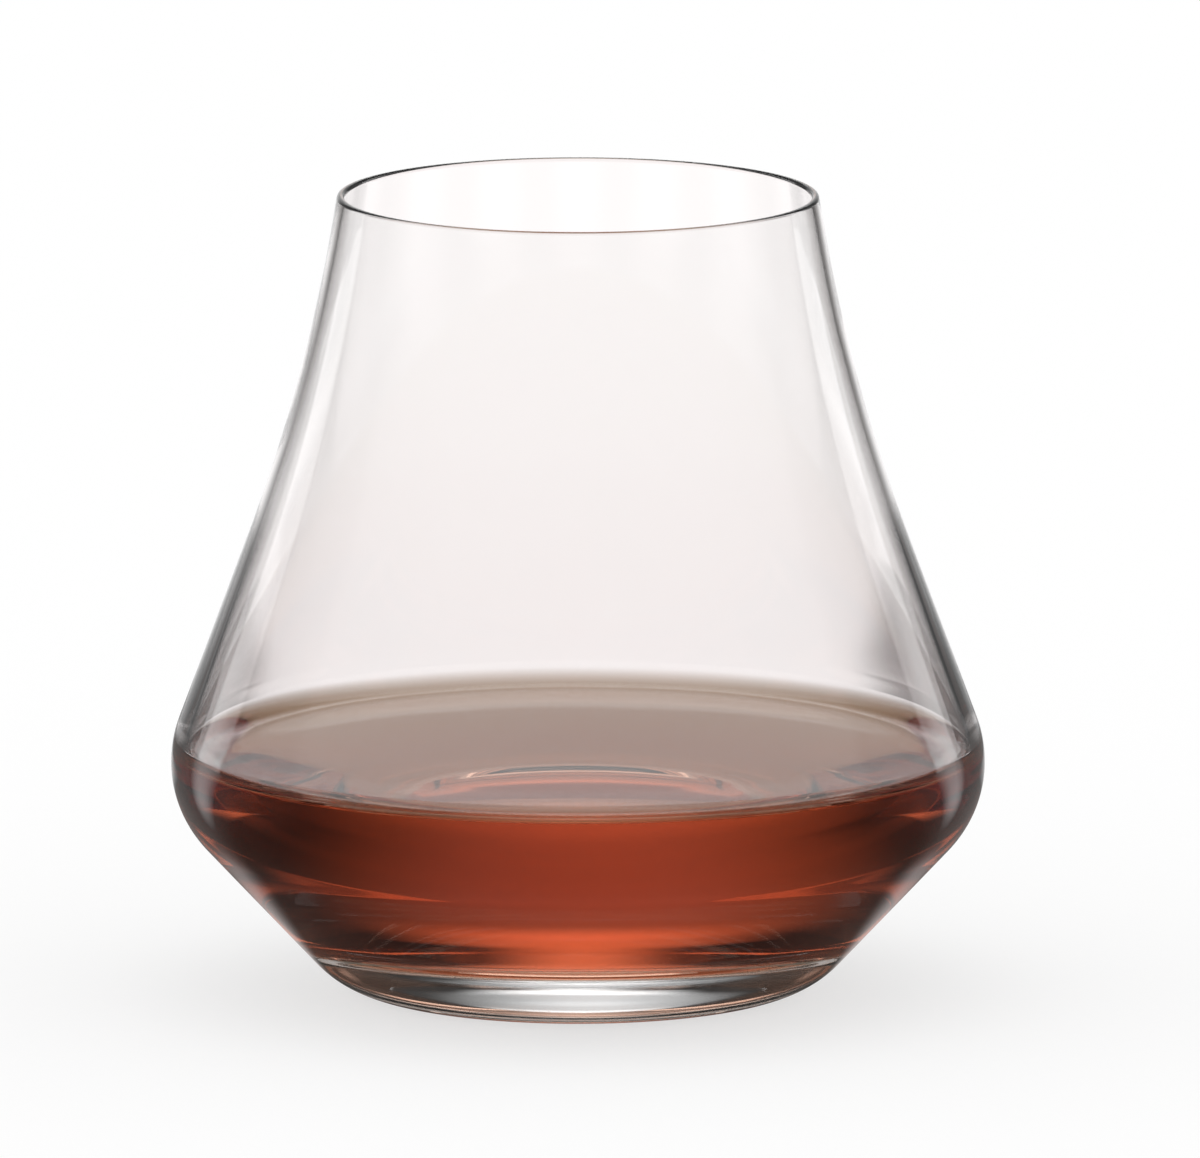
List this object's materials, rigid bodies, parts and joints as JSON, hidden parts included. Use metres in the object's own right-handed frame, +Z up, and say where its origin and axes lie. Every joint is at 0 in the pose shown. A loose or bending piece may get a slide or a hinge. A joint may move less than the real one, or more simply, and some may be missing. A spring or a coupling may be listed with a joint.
{
  "type": "rum glass",
  "caption": "Stemless clear rum glass with a low wide belly, a heavy base and walls drawn in to a narrow mouth, holding a measure of dark rum that can swirl in the bowl.",
  "frame": {"origin": "on the glass's axis, at the level of the table that its standing ring rests on", "axes": "+Z up along the glass's axis; the glass is round, so +X and +Y are any two level directions, with the picture taken looking along +Y"},
  "size_m": [0.09, 0.09, 0.089],
  "materials": {
    "glass": "polished",
    "rum": "polished"
  },
  "bodies": {
    "glass": {"glass": "glass"},
    "rum": {"rum": "rum"}
  },
  "joints": [
    {"name": "rum_swirl", "type": "hinge", "parent": "glass", "child": "rum", "pos_m": [0, 0, 0.0254], "axis": [0, 0, 1], "continuous": true}
  ]
}
